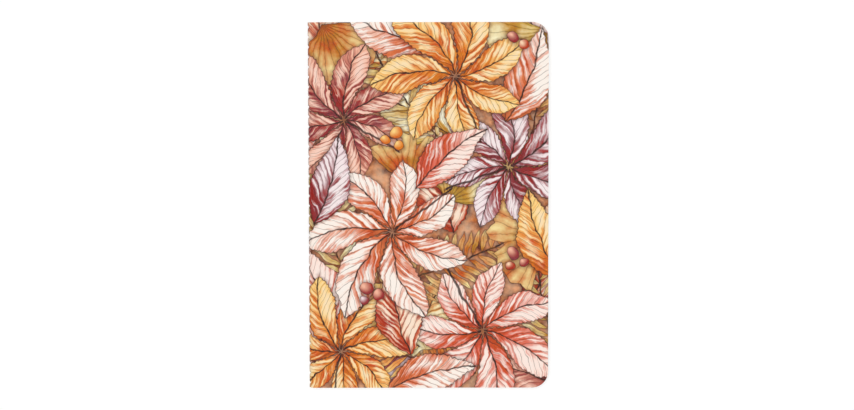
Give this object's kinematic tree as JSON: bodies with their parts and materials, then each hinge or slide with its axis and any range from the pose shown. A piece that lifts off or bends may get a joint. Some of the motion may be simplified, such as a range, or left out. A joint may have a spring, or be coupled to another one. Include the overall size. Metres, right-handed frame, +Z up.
{
  "type": "thread-sewn notebook",
  "caption": "Soft-cover pocket notebook of folded sheets, thread-sewn through the fold, with rounded fore-edge corners and a printed card cover that opens flat.",
  "frame": {"origin": "middle of the closed notebook's underside, on the outside of the back cover", "axes": "+X from the fold to the fore-edge, +Y from the foot to the head, +Z up through the front cover"},
  "size_m": [0.1112, 0.17, 0.0051],
  "materials": {
    "cover": "matte",
    "paper": "matte",
    "thread": "matte"
  },
  "bodies": {
    "back_cover": {"back_cover": "cover"},
    "front_cover": {"front_cover": "cover"},
    "binding": {"cover_spine": "cover", "outer_thread": "thread", "inner_thread": "thread", "sheet_01_fold": "paper", "sheet_02_fold": "paper", "sheet_03_fold": "paper", "sheet_04_fold": "paper", "sheet_05_fold": "paper", "sheet_06_fold": "paper", "sheet_07_fold": "paper", "sheet_08_fold": "paper", "sheet_09_fold": "paper", "sheet_10_fold": "paper", "sheet_11_fold": "paper", "sheet_12_fold": "paper", "sheet_13_fold": "paper", "sheet_14_fold": "paper", "sheet_15_fold": "paper", "sheet_16_fold": "paper"},
    "sheet_01_back": {"sheet_01_back_leaf": "paper"},
    "sheet_01_front": {"sheet_01_front_leaf": "paper"},
    "sheet_02_back": {"sheet_02_back_leaf": "paper"},
    "sheet_02_front": {"sheet_02_front_leaf": "paper"},
    "sheet_03_back": {"sheet_03_back_leaf": "paper"},
    "sheet_03_front": {"sheet_03_front_leaf": "paper"},
    "sheet_04_back": {"sheet_04_back_leaf": "paper"},
    "sheet_04_front": {"sheet_04_front_leaf": "paper"},
    "sheet_05_back": {"sheet_05_back_leaf": "paper"},
    "sheet_05_front": {"sheet_05_front_leaf": "paper"},
    "sheet_06_back": {"sheet_06_back_leaf": "paper"},
    "sheet_06_front": {"sheet_06_front_leaf": "paper"},
    "sheet_07_back": {"sheet_07_back_leaf": "paper"},
    "sheet_07_front": {"sheet_07_front_leaf": "paper"},
    "sheet_08_back": {"sheet_08_back_leaf": "paper"},
    "sheet_08_front": {"sheet_08_front_leaf": "paper"},
    "sheet_09_back": {"sheet_09_back_leaf": "paper"},
    "sheet_09_front": {"sheet_09_front_leaf": "paper"},
    "sheet_10_back": {"sheet_10_back_leaf": "paper"},
    "sheet_10_front": {"sheet_10_front_leaf": "paper"},
    "sheet_11_back": {"sheet_11_back_leaf": "paper"},
    "sheet_11_front": {"sheet_11_front_leaf": "paper"},
    "sheet_12_back": {"sheet_12_back_leaf": "paper"},
    "sheet_12_front": {"sheet_12_front_leaf": "paper"},
    "sheet_13_back": {"sheet_13_back_leaf": "paper"},
    "sheet_13_front": {"sheet_13_front_leaf": "paper"},
    "sheet_14_back": {"sheet_14_back_leaf": "paper"},
    "sheet_14_front": {"sheet_14_front_leaf": "paper"},
    "sheet_15_back": {"sheet_15_back_leaf": "paper"},
    "sheet_15_front": {"sheet_15_front_leaf": "paper"},
    "sheet_16_back": {"sheet_16_back_leaf": "paper"},
    "sheet_16_front": {"sheet_16_front_leaf": "paper"}
  },
  "joints": [
    {"name": "cover_open", "type": "hinge", "parent": "back_cover", "child": "front_cover", "pos_m": [-0.05291, 0, 0.00254], "axis": [0, -1, 0], "range_deg": [0, 178], "deforming": ["cover_spine", "outer_thread", "inner_thread", "sheet_01_fold", "sheet_02_fold", "sheet_03_fold", "sheet_04_fold", "sheet_05_fold", "sheet_06_fold", "sheet_07_fold", "sheet_08_fold", "sheet_09_fold", "sheet_10_fold", "sheet_11_fold", "sheet_12_fold", "sheet_13_fold", "sheet_14_fold", "sheet_15_fold", "sheet_16_fold"]},
    {"name": "spine_roll", "type": "hinge", "parent": "back_cover", "child": "binding", "pos_m": [-0.05291, 0, 0.00254], "axis": [0, -1, 0], "range_deg": [0, 92]},
    {"name": "sheet_01_turn", "type": "hinge", "parent": "back_cover", "child": "sheet_01_back", "pos_m": [-0.05291, 0, 0.00254], "axis": [0, -1, 0], "range_deg": [0, 2.4]},
    {"name": "sheet_01_crease", "type": "hinge", "parent": "sheet_01_back", "child": "sheet_01_front", "pos_m": [-0.05291, 0, 0.00254], "axis": [0, -1, 0], "range_deg": [0, 177.2]},
    {"name": "sheet_02_turn", "type": "hinge", "parent": "back_cover", "child": "sheet_02_back", "pos_m": [-0.05291, 0, 0.00254], "axis": [0, -1, 0], "range_deg": [0, 2.8]},
    {"name": "sheet_02_crease", "type": "hinge", "parent": "sheet_02_back", "child": "sheet_02_front", "pos_m": [-0.05291, 0, 0.00254], "axis": [0, -1, 0], "range_deg": [0, 176.4]},
    {"name": "sheet_03_turn", "type": "hinge", "parent": "back_cover", "child": "sheet_03_back", "pos_m": [-0.05291, 0, 0.00254], "axis": [0, -1, 0], "range_deg": [0, 3.5]},
    {"name": "sheet_03_crease", "type": "hinge", "parent": "sheet_03_back", "child": "sheet_03_front", "pos_m": [-0.05291, 0, 0.00254], "axis": [0, -1, 0], "range_deg": [0, 175]},
    {"name": "sheet_04_turn", "type": "hinge", "parent": "back_cover", "child": "sheet_04_back", "pos_m": [-0.05291, 0, 0.00254], "axis": [0, -1, 0], "range_deg": [0, 4.5]},
    {"name": "sheet_04_crease", "type": "hinge", "parent": "sheet_04_back", "child": "sheet_04_front", "pos_m": [-0.05291, 0, 0.00254], "axis": [0, -1, 0], "range_deg": [0, 173]},
    {"name": "sheet_05_turn", "type": "hinge", "parent": "back_cover", "child": "sheet_05_back", "pos_m": [-0.05291, 0, 0.00254], "axis": [0, -1, 0], "range_deg": [0, 5.7]},
    {"name": "sheet_05_crease", "type": "hinge", "parent": "sheet_05_back", "child": "sheet_05_front", "pos_m": [-0.05291, 0, 0.00254], "axis": [0, -1, 0], "range_deg": [0, 170.6]},
    {"name": "sheet_06_turn", "type": "hinge", "parent": "back_cover", "child": "sheet_06_back", "pos_m": [-0.05291, 0, 0.00254], "axis": [0, -1, 0], "range_deg": [0, 7.1]},
    {"name": "sheet_06_crease", "type": "hinge", "parent": "sheet_06_back", "child": "sheet_06_front", "pos_m": [-0.05291, 0, 0.00254], "axis": [0, -1, 0], "range_deg": [0, 167.8]},
    {"name": "sheet_07_turn", "type": "hinge", "parent": "back_cover", "child": "sheet_07_back", "pos_m": [-0.05291, 0, 0.00254], "axis": [0, -1, 0], "range_deg": [0, 8.7]},
    {"name": "sheet_07_crease", "type": "hinge", "parent": "sheet_07_back", "child": "sheet_07_front", "pos_m": [-0.05291, 0, 0.00254], "axis": [0, -1, 0], "range_deg": [0, 164.7]},
    {"name": "sheet_08_turn", "type": "hinge", "parent": "back_cover", "child": "sheet_08_back", "pos_m": [-0.05291, 0, 0.00254], "axis": [0, -1, 0], "range_deg": [0, 10.4]},
    {"name": "sheet_08_crease", "type": "hinge", "parent": "sheet_08_back", "child": "sheet_08_front", "pos_m": [-0.05291, 0, 0.00254], "axis": [0, -1, 0], "range_deg": [0, 161.2]},
    {"name": "sheet_09_turn", "type": "hinge", "parent": "back_cover", "child": "sheet_09_back", "pos_m": [-0.05291, 0, 0.00254], "axis": [0, -1, 0], "range_deg": [0, 12.3]},
    {"name": "sheet_09_crease", "type": "hinge", "parent": "sheet_09_back", "child": "sheet_09_front", "pos_m": [-0.05291, 0, 0.00254], "axis": [0, -1, 0], "range_deg": [0, 157.4]},
    {"name": "sheet_10_turn", "type": "hinge", "parent": "back_cover", "child": "sheet_10_back", "pos_m": [-0.05291, 0, 0.00254], "axis": [0, -1, 0], "range_deg": [0, 14.4]},
    {"name": "sheet_10_crease", "type": "hinge", "parent": "sheet_10_back", "child": "sheet_10_front", "pos_m": [-0.05291, 0, 0.00254], "axis": [0, -1, 0], "range_deg": [0, 153.3]},
    {"name": "sheet_11_turn", "type": "hinge", "parent": "back_cover", "child": "sheet_11_back", "pos_m": [-0.05291, 0, 0.00254], "axis": [0, -1, 0], "range_deg": [0, 16.6]},
    {"name": "sheet_11_crease", "type": "hinge", "parent": "sheet_11_back", "child": "sheet_11_front", "pos_m": [-0.05291, 0, 0.00254], "axis": [0, -1, 0], "range_deg": [0, 148.8]},
    {"name": "sheet_12_turn", "type": "hinge", "parent": "back_cover", "child": "sheet_12_back", "pos_m": [-0.05291, 0, 0.00254], "axis": [0, -1, 0], "range_deg": [0, 18.9]},
    {"name": "sheet_12_crease", "type": "hinge", "parent": "sheet_12_back", "child": "sheet_12_front", "pos_m": [-0.05291, 0, 0.00254], "axis": [0, -1, 0], "range_deg": [0, 144.2]},
    {"name": "sheet_13_turn", "type": "hinge", "parent": "back_cover", "child": "sheet_13_back", "pos_m": [-0.05291, 0, 0.00254], "axis": [0, -1, 0], "range_deg": [0, 21.4]},
    {"name": "sheet_13_crease", "type": "hinge", "parent": "sheet_13_back", "child": "sheet_13_front", "pos_m": [-0.05291, 0, 0.00254], "axis": [0, -1, 0], "range_deg": [0, 139.3]},
    {"name": "sheet_14_turn", "type": "hinge", "parent": "back_cover", "child": "sheet_14_back", "pos_m": [-0.05291, 0, 0.00254], "axis": [0, -1, 0], "range_deg": [0, 23.9]},
    {"name": "sheet_14_crease", "type": "hinge", "parent": "sheet_14_back", "child": "sheet_14_front", "pos_m": [-0.05291, 0, 0.00254], "axis": [0, -1, 0], "range_deg": [0, 134.1]},
    {"name": "sheet_15_turn", "type": "hinge", "parent": "back_cover", "child": "sheet_15_back", "pos_m": [-0.05291, 0, 0.00254], "axis": [0, -1, 0], "range_deg": [0, 26.6]},
    {"name": "sheet_15_crease", "type": "hinge", "parent": "sheet_15_back", "child": "sheet_15_front", "pos_m": [-0.05291, 0, 0.00254], "axis": [0, -1, 0], "range_deg": [0, 128.7]},
    {"name": "sheet_16_turn", "type": "hinge", "parent": "back_cover", "child": "sheet_16_back", "pos_m": [-0.05291, 0, 0.00254], "axis": [0, -1, 0], "range_deg": [0, 29.5]},
    {"name": "sheet_16_crease", "type": "hinge", "parent": "sheet_16_back", "child": "sheet_16_front", "pos_m": [-0.05291, 0, 0.00254], "axis": [0, -1, 0], "range_deg": [0, 123]}
  ],
  "couplings": [
    {"joint": "spine_roll", "follows": "cover_open", "ratio": 0.5},
    {"joint": "sheet_01_turn", "follows": "cover_open", "ratio": 0.008},
    {"joint": "sheet_01_crease", "follows": "cover_open", "ratio": 0.984},
    {"joint": "sheet_02_turn", "follows": "cover_open", "ratio": 0.01},
    {"joint": "sheet_02_crease", "follows": "cover_open", "ratio": 0.98},
    {"joint": "sheet_03_turn", "follows": "cover_open", "ratio": 0.014},
    {"joint": "sheet_03_crease", "follows": "cover_open", "ratio": 0.972},
    {"joint": "sheet_04_turn", "follows": "cover_open", "ratio": 0.0196},
    {"joint": "sheet_04_crease", "follows": "cover_open", "ratio": 0.9608},
    {"joint": "sheet_05_turn", "follows": "cover_open", "ratio": 0.0263},
    {"joint": "sheet_05_crease", "follows": "cover_open", "ratio": 0.9474},
    {"joint": "sheet_06_turn", "follows": "cover_open", "ratio": 0.0342},
    {"joint": "sheet_06_crease", "follows": "cover_open", "ratio": 0.9316},
    {"joint": "sheet_07_turn", "follows": "cover_open", "ratio": 0.0431},
    {"joint": "sheet_07_crease", "follows": "cover_open", "ratio": 0.9138},
    {"joint": "sheet_08_turn", "follows": "cover_open", "ratio": 0.0529},
    {"joint": "sheet_08_crease", "follows": "cover_open", "ratio": 0.8942},
    {"joint": "sheet_09_turn", "follows": "cover_open", "ratio": 0.0636},
    {"joint": "sheet_09_crease", "follows": "cover_open", "ratio": 0.8728},
    {"joint": "sheet_10_turn", "follows": "cover_open", "ratio": 0.0751},
    {"joint": "sheet_10_crease", "follows": "cover_open", "ratio": 0.8498},
    {"joint": "sheet_11_turn", "follows": "cover_open", "ratio": 0.0875},
    {"joint": "sheet_11_crease", "follows": "cover_open", "ratio": 0.825},
    {"joint": "sheet_12_turn", "follows": "cover_open", "ratio": 0.1005},
    {"joint": "sheet_12_crease", "follows": "cover_open", "ratio": 0.799},
    {"joint": "sheet_13_turn", "follows": "cover_open", "ratio": 0.1144},
    {"joint": "sheet_13_crease", "follows": "cover_open", "ratio": 0.7712},
    {"joint": "sheet_14_turn", "follows": "cover_open", "ratio": 0.1289},
    {"joint": "sheet_14_crease", "follows": "cover_open", "ratio": 0.7422},
    {"joint": "sheet_15_turn", "follows": "cover_open", "ratio": 0.1441},
    {"joint": "sheet_15_crease", "follows": "cover_open", "ratio": 0.7118},
    {"joint": "sheet_16_turn", "follows": "cover_open", "ratio": 0.16},
    {"joint": "sheet_16_crease", "follows": "cover_open", "ratio": 0.68}
  ]
}
